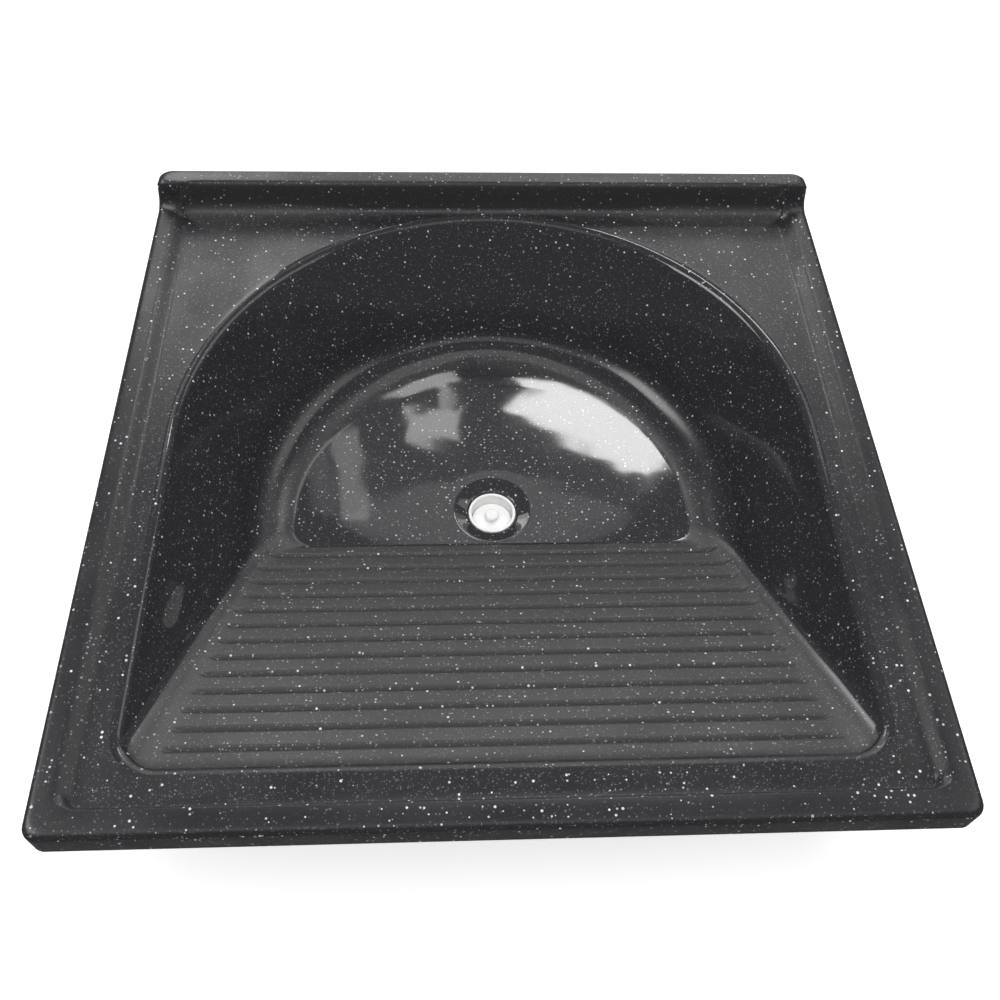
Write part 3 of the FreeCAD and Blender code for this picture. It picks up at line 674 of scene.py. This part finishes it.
def ring_mesh(name, stacks):
    """Joins stacks of rings into one smooth piece. A stack is closed unless it ends in a point."""
    points, faces = [], []
    for stack in stacks:
        starts = []
        for ring in stack:
            starts.append(len(points))
            points += [
                (x * MILLIMETRE, (y + DRAIN_Y) * MILLIMETRE, (z + SKIRT_HEIGHT) * MILLIMETRE)
                for x, y, z in ring
            ]
        rows = len(stack) - 1 if len(stack[0]) == 1 else len(stack)
        for row in range(rows):
            after = (row + 1) % len(stack)
            faces += ring_rows(starts[row], len(stack[row]), starts[after], len(stack[after]))
    mesh = bpy.data.meshes.new(name)
    mesh.from_pydata(points, [], faces)
    shape = bmesh.new()
    shape.from_mesh(mesh)
    bmesh.ops.recalc_face_normals(shape, faces=shape.faces)
    shape.to_mesh(mesh)
    shape.free()
    mesh.shade_smooth()
    mesh.set_sharp_from_angle(angle=SMOOTH_ANGLE)
    piece = bpy.data.objects.new(name, mesh)
    scene.collection.objects.link(piece)
    return piece


# %% The casting, with its satin kept at each point
casting_stacks = [[both_halves(ring) for ring in stack] for stack in (rings, boss_rings)]
casting = ring_mesh("casting", casting_stacks)
satin_values = [value for ring in satin_rings for value in ring + ring[-2:0:-1]]
satin_values += [FULL_SATIN] * (len(casting.data.vertices) - len(satin_values))
# The finish reads this number for its gloss and for its painted tone: painted light where fully satin,
# painted shade in the grooves.
casting.data.attributes.new("satin", "FLOAT", "POINT").data.foreach_set("value", satin_values)
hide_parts("basin")
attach(casting, "sink")
print("faces in the casting:", len(casting.data.polygons))

# %% [markdown]
# ## The flecked gel-coat
# The real finish is clear resin over black resin full of pale stone chips. The chips are round dots
# of many sizes, so each size is one Voronoi texture in the object's own space: a dot is the part of a
# cell that is near the cell's point. The cell's random colour sets the dot's size, its paleness and
# whether there is one at all. Few chips are really pale, so the paleness is a power of the random
# number, which keeps most of them dim.

# %% Node helpers
def new_material(name):
    """A material with its node tree and its shader."""
    material = bpy.data.materials.new(name)
    material.use_nodes = True
    shader = material.node_tree.nodes["Principled BSDF"]
    return material, material.node_tree, shader


def put(tree, source, socket):
    """Links an output to a socket, or sets the socket's own value."""
    if isinstance(source, bpy.types.NodeSocket):
        tree.links.new(source, socket)
    else:
        socket.default_value = source


def math_node(tree, operation, *sources):
    """The result of one sum on outputs or numbers."""
    node = tree.nodes.new("ShaderNodeMath")
    node.operation = operation
    for socket, source in zip(node.inputs, sources):
        put(tree, source, socket)
    return node.outputs[0]


def map_range(tree, value, start, end, low, high):
    """A value eased from low to high while another goes from a start to an end."""
    node = tree.nodes.new("ShaderNodeMapRange")
    node.interpolation_type = "SMOOTHSTEP"
    for socket, source in zip(node.inputs, (value, start, end, low, high)):
        put(tree, source, socket)
    return node.outputs[0]


def mix_colour(tree, factor, first, second):
    """A colour between two others, each an output or three numbers."""
    node = tree.nodes.new("ShaderNodeMix")
    node.data_type = "RGBA"
    put(tree, factor, node.inputs["Factor"])
    colour_sockets = [socket for socket in node.inputs if socket.type == "RGBA"]
    for socket, source in zip(colour_sockets, (first, second)):
        put(tree, (*source, 1) if isinstance(source, tuple) else source, socket)
    return next(socket for socket in node.outputs if socket.type == "RGBA")


def noise(tree, coordinates, size_mm, detail):
    """A noise texture whose features are about a size, in millimetres."""
    node = tree.nodes.new("ShaderNodeTexNoise")
    node.inputs["Scale"].default_value = 1 / (size_mm * MILLIMETRE)
    node.inputs["Detail"].default_value = detail
    tree.links.new(coordinates, node.inputs["Vector"])
    return node.outputs["Fac"]


def bump(tree, height, depth_mm, shader):
    """Lets a height roughen the shader's surface by a depth in millimetres."""
    node = tree.nodes.new("ShaderNodeBump")
    node.inputs["Strength"].default_value = 1.0
    node.inputs["Distance"].default_value = depth_mm * MILLIMETRE
    tree.links.new(height, node.inputs["Height"])
    tree.links.new(node.outputs["Normal"], shader.inputs["Normal"])


# %% One size of chip
RARITY, CHIP_CORE = 2.5, 0.6
BOLD_CHIPS = {"cell": 3.6, "radii": (0.45, 1.15), "share": 0.42, "paleness": (0.1, 0.95)}
PLAIN_CHIPS = {"cell": 2.4, "radii": (0.4, 0.75), "share": 0.42, "paleness": (0.08, 0.5)}
CHIP_DUST = {"cell": 1.3, "radii": (0.28, 0.55), "share": 0.6, "paleness": (0.02, 0.17)}


def chips(tree, coordinates, cell, radii, share, paleness):
    """How much pale chip shows at a place. A share of the cells hold a chip; sizes are millimetres."""
    node = tree.nodes.new("ShaderNodeTexVoronoi")
    node.inputs["Scale"].default_value = 1 / (cell * MILLIMETRE)
    tree.links.new(coordinates, node.inputs["Vector"])
    parts = tree.nodes.new("ShaderNodeSeparateColor")
    tree.links.new(node.outputs["Color"], parts.inputs[0])
    small, large = radii
    radius = map_range(tree, parts.outputs[0], 0.0, 1.0, small / cell, large / cell)
    core = math_node(tree, "MULTIPLY", radius, CHIP_CORE)
    spot = map_range(tree, node.outputs["Distance"], core, radius, 1.0, 0.0)
    present = math_node(tree, "LESS_THAN", parts.outputs[1], share)
    rare = math_node(tree, "POWER", parts.outputs[2], RARITY)
    dim, bright = paleness
    tone = math_node(tree, "MULTIPLY_ADD", rare, bright - dim, dim)
    return math_node(tree, "MULTIPLY", math_node(tree, "MULTIPLY", spot, present), tone)


# %% The gel-coat
POLISHED_ROUGHNESS, SATIN_ROUGHNESS, GEL_IOR = 0.05, 0.42, 1.52
# The bowl's black, and the deck's and rim's darker tone, which also stands in the grooves as painted
# shade.
BLACK_RESIN, DECK_RESIN_AND_GROOVE_SHADE = (0.033, 0.033, 0.036), (0.015, 0.015, 0.017)
# A lighter tone that is painted light: sheen on the board, light on the upstand's face and cove.
PAINTED_LIGHT_RESIN = (0.044, 0.044, 0.046)
COOL_CHIP, WARM_CHIP, TINT_PATCH = (0.84, 0.87, 0.97), (0.97, 0.9, 0.93), 7
NOISE_MIDDLE = (0.3, 0.7)
SHINE_PATCH, SHINE_SWING = 60, (0.85, 1.2)
RIPPLE_PATCH, RIPPLE_DEPTH = 45, 0.25


def flecked_gelcoat():
    """Black resin with pale chips, polished or satin by the number kept at each point, which also sets
    a painted tone: painted light where fully satin, painted shade in the grooves.
    """
    material, tree, shader = new_material("flecked_gelcoat")
    place = tree.nodes.new("ShaderNodeTexCoord").outputs["Object"]
    attribute = tree.nodes.new("ShaderNodeAttribute")
    attribute.attribute_name = "satin"
    satin = attribute.outputs["Fac"]
    pale = chips(tree, place, **BOLD_CHIPS)
    for sizes in (PLAIN_CHIPS, CHIP_DUST):
        pale = math_node(tree, "MAXIMUM", pale, chips(tree, place, **sizes))
    tint = mix_colour(tree, noise(tree, place, TINT_PATCH, detail=1), COOL_CHIP, WARM_CHIP)
    # The satin number also paints the resin: from the bowl's black at 0 to the darkest tone at 0.75,
    # then up to the painted-light tone at 1.
    resin = mix_colour(tree, satin, BLACK_RESIN, DECK_RESIN_AND_GROOVE_SHADE)
    painted_light_share = map_range(tree, satin, DECK_SATIN, FULL_SATIN, 0.0, 1.0)
    resin = mix_colour(tree, painted_light_share, resin, PAINTED_LIGHT_RESIN)
    tree.links.new(mix_colour(tree, pale, resin, tint), shader.inputs["Base Color"])
    shader.inputs["IOR"].default_value = GEL_IOR
    shine = map_range(tree, satin, POLISH, FULL_SATIN, POLISHED_ROUGHNESS, SATIN_ROUGHNESS)
    patches = noise(tree, place, SHINE_PATCH, detail=2)
    uneven = map_range(tree, patches, *NOISE_MIDDLE, *SHINE_SWING)
    tree.links.new(math_node(tree, "MULTIPLY", shine, uneven), shader.inputs["Roughness"])
    bump(tree, noise(tree, place, RIPPLE_PATCH, detail=1), RIPPLE_DEPTH, shader)
    return material


gelcoat = flecked_gelcoat()
casting.data.materials.append(gelcoat)
print("casting finish:", gelcoat.name)

# %% [markdown]
# ## Plain finishes
# The fittings are white plastic, rubber, brass and steel. Moulded plastic and cut metal are never
# quite even: each finish wanders between two close tones and has a fine grain in its gloss. The brass
# inserts and the tail's seal are shut in by other pieces, so their solids stay and only get a finish.

# %% Plain finishes
TONE_PATCH, GRAIN_SWING, GRAIN_DEPTH = 12, (0.8, 1.2), 0.02


def plain_finish(name, dark, pale, grain, roughness, metallic=0.0):
    """A finish whose colour wanders a little between two tones, with a faint grain in millimetres."""
    material, tree, shader = new_material(name)
    place = tree.nodes.new("ShaderNodeTexCoord").outputs["Object"]
    tone = mix_colour(tree, noise(tree, place, grain * TONE_PATCH, detail=3), dark, pale)
    tree.links.new(tone, shader.inputs["Base Color"])
    shader.inputs["Metallic"].default_value = metallic
    texture = noise(tree, place, grain, detail=2)
    low, high = (roughness * swing for swing in GRAIN_SWING)
    rough = map_range(tree, texture, *NOISE_MIDDLE, low, high)
    tree.links.new(rough, shader.inputs["Roughness"])
    bump(tree, texture, GRAIN_DEPTH, shader)
    return material


white_plastic = plain_finish(
    "white_plastic", (0.88, 0.88, 0.87), (0.93, 0.93, 0.93), grain=1.2, roughness=0.28
)
black_rubber = plain_finish(
    "black_rubber", (0.018, 0.018, 0.018), (0.03, 0.03, 0.03), grain=0.6, roughness=0.6
)
turned_brass = plain_finish(
    "turned_brass", (0.6, 0.44, 0.18), (0.68, 0.5, 0.22), grain=0.4, roughness=0.3, metallic=1.0
)
screw_steel = plain_finish(
    "screw_steel", (0.52, 0.52, 0.53), (0.62, 0.62, 0.63), grain=0.4, roughness=0.28, metallic=1.0
)
HIDDEN_NODES = {"threaded_inserts": turned_brass, "tail_seal": black_rubber}
for node, finish in HIDDEN_NODES.items():
    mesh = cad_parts[node].data
    mesh.materials.clear()
    mesh.materials.append(finish)
print("finishes:", [material.name for material in bpy.data.materials])

# %% [markdown]
# ## The fittings
# The outlet, the plug and the tail are turned or moulded round pieces. Their solids have bare edges,
# so each visible one is made again as a profile turned about an axis, as on a lathe: a list of radii
# and depths, with the edges broken and the thread cut. The rings of a turned piece are circles, and a
# ring may be capped to a hexagon, which gives a nut its flats and a screw its socket. A radius of
# zero is a point on the axis.

# %% Turn a profile
TURN_STEPS = 72
HEXAGON_TURN, FLAT_SPAN = 15, 60


def turned_ring(centre, radius, depth, flats=None):
    """A circle at a depth, capped to a hexagon that is as wide as its flats are apart."""
    if radius == 0:
        return [(*centre, -depth)]
    ring = []
    for step in range(TURN_STEPS):
        degrees = step * 360 / TURN_STEPS
        reach = radius
        if flats:
            from_flat = (degrees - HEXAGON_TURN) % FLAT_SPAN - FLAT_SPAN / 2
            reach = min(radius, flats / 2 / math.cos(math.radians(from_flat)))
        angle = math.radians(degrees)
        x, y = centre[0] + reach * math.cos(angle), centre[1] + reach * math.sin(angle)
        ring.append((x, y, -depth))
    return ring


def turned_piece(name, node, body, finish, profile, centres=((0.0, 0.0),)):
    """A piece turned from (radius, depth) or (radius, depth, flats), once about each centre."""
    stacks = [[turned_ring(centre, *cut) for cut in profile] for centre in centres]
    piece = ring_mesh(name, stacks)
    piece.data.materials.append(finish)
    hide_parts(node)
    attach(piece, body)
    print(name, "faces:", len(piece.data.polygons))


# %% [markdown]
# The outlet has a sleeve that stands in the drain hole, a flange under the boss and a threaded spigot.
# Its seat is the step in the bore that the plug's ring closes on. A thread is a helix on the real
# spigot; here it is a row of round grooves, which look the same between the flange and the nut.

# %% The outlet and its gasket
THREAD_FIRST, THREAD_PITCH, THREAD_COUNT, THREAD_TOP, THREAD_ROOT = 144.2, 2.4, 8, 20.95, 20.2
THREAD_SHAPE = ((THREAD_TOP, 0.0), (THREAD_TOP, 0.6), (THREAD_ROOT, 1.3), (THREAD_ROOT, 1.7))
thread = [
    (radius, THREAD_FIRST + turn * THREAD_PITCH + rise)
    for turn in range(THREAD_COUNT)
    for radius, rise in THREAD_SHAPE
]
OUTLET_PROFILE = (
    (18.5, 120.5), (20.2, 120.5), (20.6, 120.9), (20.6, 134.5), (46.2, 134.5), (46.8, 134.7),
    (47.0, 135.2), (47.0, 139.6), (46.7, 140.2), (46.0, 140.5), (23.5, 140.5), (22.2, 140.8),
    (21.3, 141.6), (THREAD_TOP, 142.8), *thread, (THREAD_TOP, 163.6), (20.4, 164.4), (20.0, 164.5),
    (15.5, 164.5), (15.0, 164.0), (15.0, 139.3), (15.3, 138.7), (15.9, 138.5), (17.6, 138.5),
    (18.0, 138.1), (18.0, 121.0),
)
turned_piece("outlet", "outlet_body", "sink", white_plastic, OUTLET_PROFILE)
GASKET_PROFILE = (
    (21.4, 132.0), (46.4, 132.0), (46.9, 132.4), (47.0, 133.2), (46.9, 134.1), (46.4, 134.5),
    (21.4, 134.5),
)
turned_piece("gasket", "outlet_gasket", "sink", black_rubber, GASKET_PROFILE)

# %% [markdown]
# Four screws with washers pull the flange up against the gasket. They are seen only from below.

# %% Screws and washers
SCREW_CIRCLE, SCREW_ANGLES = 37.0, (45, 135, 225, 315)
screw_centres = [
    (SCREW_CIRCLE * math.cos(math.radians(angle)), SCREW_CIRCLE * math.sin(math.radians(angle)))
    for angle in SCREW_ANGLES
]
SOCKET_REACH, SOCKET_FLATS = 1.72, 3.0
SCREW_PROFILE = (
    (0, 125.5), (2.0, 125.5), (2.5, 126.0), (2.5, 141.5), (4.4, 141.5), (4.75, 141.8),
    (4.75, 144.3), (4.6, 144.8), (4.1, 145.1), (1.9, 145.1), (SOCKET_REACH, 145.0, SOCKET_FLATS),
    (SOCKET_REACH, 143.1, SOCKET_FLATS), (0, 143.1),
)
turned_piece(
    "screws", "outlet_screws", "sink", screw_steel, SCREW_PROFILE, screw_centres
)
WASHER_PROFILE = (
    (2.7, 140.5), (5.3, 140.5), (5.5, 140.7), (5.5, 141.3), (5.3, 141.5), (2.7, 141.5),
)
turned_piece(
    "washers", "screw_washers", "sink", screw_steel, WASHER_PROFILE, screw_centres
)

# %% [markdown]
# The plug is a white disc with a sunk face, a rubber ring under it and a knob to lift it by.

# %% The plug, its ring and its pull
PLUG_PROFILE = (
    (0, 132.2), (12.8, 132.2), (13.8, 132.0), (14.6, 131.6), (15.2, 131.5), (16.7, 131.5),
    (17.3, 131.8), (17.6, 132.4), (17.6, 135.9), (17.4, 136.3), (17.0, 136.5), (12.2, 136.5),
    (12.0, 136.7), (12.0, 139.8), (11.7, 140.3), (11.1, 140.5), (0, 140.5),
)
turned_piece("plug_disc", "plug", "plug", white_plastic, PLUG_PROFILE)
SEAL_PROFILE = (
    (12.1, 136.5), (16.9, 136.5), (17.4, 136.8), (17.6, 137.5), (17.4, 138.2), (16.9, 138.5),
    (12.1, 138.5),
)
turned_piece("plug_ring", "plug_seal", "plug", black_rubber, SEAL_PROFILE)
PULL_PROFILE = (
    (0, 122.5), (3.6, 122.5), (4.9, 122.7), (5.7, 123.3), (6.0, 124.2), (6.0, 125.6), (5.7, 126.5),
    (4.9, 127.2), (3.4, 127.5), (2.4, 127.8), (2.0, 128.6), (2.0, 130.6), (2.3, 131.7), (2.5, 132.3),
    (2.5, 140.3), (0, 140.3),
)
turned_piece("pull", "plug_pull", "plug", white_plastic, PULL_PROFILE)

# %% [markdown]
# The tail pipe hangs in a nut that is screwed onto the spigot. The nut is a hexagon whose corners are
# cut back by a cone at both ends, so its rings get a growing radius under the same flats.

# %% The tail pipe and its nut
PIPE_PROFILE = (
    (16.9, 167.5), (20.5, 167.5), (21.0, 168.0), (21.0, 170.0), (20.5, 170.5), (19.5, 170.5),
    (19.5, 175.1), (19.0, 175.5), (19.0, 212.7), (18.6, 213.3), (18.0, 213.5), (17.0, 213.5),
    (16.5, 213.0), (16.5, 167.9),
)
turned_piece("tail", "tail_pipe", "sink", white_plastic, PIPE_PROFILE)
NUT_FLATS, NUT_TOP, NUT_END = 52.6, 149.5, 173.5
NUT_CONE = ((25.6, 0.0), (26.4, 0.25), (27.6, 0.8), (29.0, 1.6), (30.4, 2.5))
NUT_BORE = (
    (20.3, NUT_END), (19.8, 173.0), (19.8, 171.0), (20.3, 170.6), (21.3, 170.6), (21.3, 150.6),
    (22.2, NUT_TOP),
)
nut_profile = [(radius, NUT_TOP + rise, NUT_FLATS) for radius, rise in NUT_CONE]
nut_profile += [(radius, NUT_END - rise, NUT_FLATS) for radius, rise in reversed(NUT_CONE)]
nut_profile += NUT_BORE
turned_piece("nut", "tail_nut", "sink", white_plastic, nut_profile)

# %% [markdown]
# ## Floor and light
# The floor is pale, and an extra glow that only the camera sees makes it look white around a soft
# shadow. The room is white to the camera too, but dim for everything else: black gel-coat shows
# whatever stands around it, and only a dim room leaves it black.

# %% The floor under the sink
FLOOR_REACH, FLOOR_GAP = 4.0, 0.002
FLOOR_TONE, FLOOR_ROUGHNESS, FLOOR_GLOW = (0.85, 0.85, 0.85, 1), 0.9, 0.55
FLOOR_CORNERS = ((-1, -1), (1, -1), (1, 1), (-1, 1))
floor_level = cad_box[0][2] - FLOOR_GAP
floor_points = [(x * FLOOR_REACH, y * FLOOR_REACH, floor_level) for x, y in FLOOR_CORNERS]
floor_mesh = bpy.data.meshes.new("floor")
floor_mesh.from_pydata(floor_points, [], [(0, 1, 2, 3)])
floor = bpy.data.objects.new("floor", floor_mesh)
scene.collection.objects.link(floor)
floor.visible_glossy = False
floor_material, floor_tree, floor_shader = new_material("pale_floor")
floor_shader.inputs["Base Color"].default_value = FLOOR_TONE
floor_shader.inputs["Roughness"].default_value = FLOOR_ROUGHNESS
floor_rays = floor_tree.nodes.new("ShaderNodeLightPath")
glow = math_node(floor_tree, "MULTIPLY", floor_rays.outputs["Is Camera Ray"], FLOOR_GLOW)
floor_shader.inputs["Emission Color"].default_value = (1, 1, 1, 1)
floor_tree.links.new(glow, floor_shader.inputs["Emission Strength"])
floor_mesh.materials.append(floor_material)
print("floor at", round(floor_level, 4))

# %% The room
ROOM_TONE, ROOM_DIM = (0.98, 0.99, 1.0, 1), 0.17
world = bpy.data.worlds.new("room")
scene.world = world
world.use_nodes = True
room_tree = world.node_tree
background = room_tree.nodes["Background"]
background.inputs["Color"].default_value = ROOM_TONE
room_rays = room_tree.nodes.new("ShaderNodeLightPath")
seen = room_rays.outputs["Is Camera Ray"]
strength = math_node(room_tree, "MULTIPLY_ADD", seen, 1 - ROOM_DIM, ROOM_DIM)
room_tree.links.new(strength, background.inputs["Strength"])
print("room level:", ROOM_DIM)

# %% [markdown]
# The far wall is a patchwork of lamps. Its broad panes give the deck and the rim their grey sheen,
# and the windows and panels draw the pale shapes on the bowl's floor. Each of those is placed where
# the reflection of its corners, followed from the camera off the level floor, meets the far wall.
# Lamps in one plane would hide each other by chance, so each stands a little in front of the last.

# %% The far wall
FAR_WALL, LAYER = 1.1, 0.004


def pane(name, shape, wide, high, radiance, place, angles):
    """A soft lamp of one size in metres, whose face has one radiance."""
    data = bpy.data.lights.new(name, "AREA")
    data.shape = shape
    data.size, data.size_y = wide, high
    share = math.pi / 4 if shape == "ELLIPSE" else 1.0
    data.energy = radiance * math.pi * wide * high * share
    lamp = bpy.data.objects.new(name, data)
    lamp.location = place
    lamp.rotation_euler = rotation(angles)
    scene.collection.objects.link(lamp)
    print(name, "watts:", round(data.energy, 2))
    return lamp


def window(name, left, right, low, high, radiance, roll=0.0, shape="RECTANGLE"):
    """A pane in the far wall between two sides and two heights, each just in front of the last."""
    place = (left + right) / 2, FAR_WALL - LAYER * len(bpy.data.lights), (low + high) / 2
    pane(name, shape, right - left, high - low, radiance, place, (-90, -roll, 0))


# Name, left, right, low and high in metres, radiance, and a roll or a shape if they aren't the usual
FAR_WALL_LAMPS = (
    ("wall_foot", -0.6, 0.75, -0.05, 0.4, 1.5),
    ("wall_middle", -0.75, 0.9, 0.4, 0.75, 0.8),
    ("wall_upper", -0.75, 0.9, 0.75, 1.1, 2.4),
    ("wall_left", -0.95, -0.4, 0.75, 1.4, 3.6),
    ("wall_right", 0.7, 1.1, 0.75, 1.4, 0.9),
    ("wall_high", -0.45, 0.58, 1.15, 2.13, 0.25, 0, "ELLIPSE"),
    ("wall_top", -0.38, 0.55, 1.74, 2.16, 0.85, 0, "ELLIPSE"),
    ("window_right", 0.13, 0.68, 1.385, 1.595, 15, 37),
    ("window_left", -0.15, 0.0, 1.385, 1.54, 5.3),
    ("window_left_bar", -0.06, -0.03, 1.25, 1.385, 4),
    ("panel_left", -0.365, -0.285, 1.45, 1.92, 2.2),
    ("panel_far_left", -0.445, -0.38, 1.5, 1.87, 0.6),
)
for lamp_values in FAR_WALL_LAMPS:
    window(*lamp_values)

# %% [markdown]
# A lamp at each side shows only in reflections: it brings out turned edges without lightening the
# resin itself. A dim ceiling adds a little soft light from the viewer's side. Last, a large soft box
# overhead brings the diffuse light up to a plain level, so that the chips and the white plastic look
# about as pale as they are. The room had no such lamp, so it is kept out of the reflections. The
# Standard view shows every colour as it was worked out.

# %% The sides, the ceiling and the fill light
SIDE_WALL = 1.6
# Name, width, height, radiance, place and angles
SIDE_LAMPS = (
    ("side_left", 1.3, 1.2, 6.5, (-SIDE_WALL, -0.4, 1.75), (0, -90, 0)),
    ("side_right", 1.3, 2.1, 1.6, (SIDE_WALL, 0.05, 1.7), (0, 90, 0)),
)
CEILING_LAMP = ("ceiling", "RECTANGLE", 2.4, 1.6, 0.8, (0.0, -1.5, 2.4), (0, 0, 0))
FILL_LAMP = ("fill", "RECTANGLE", 2.0, 2.0, 4.0, (0.0, -1.0, 2.5), (16, 0, 0))
for name, *lamp_values in SIDE_LAMPS:
    side = pane(name, "RECTANGLE", *lamp_values)
    side.visible_diffuse = False
pane(*CEILING_LAMP)
fill = pane(*FILL_LAMP)
fill.visible_glossy = False
scene.view_settings.view_transform = "Standard"
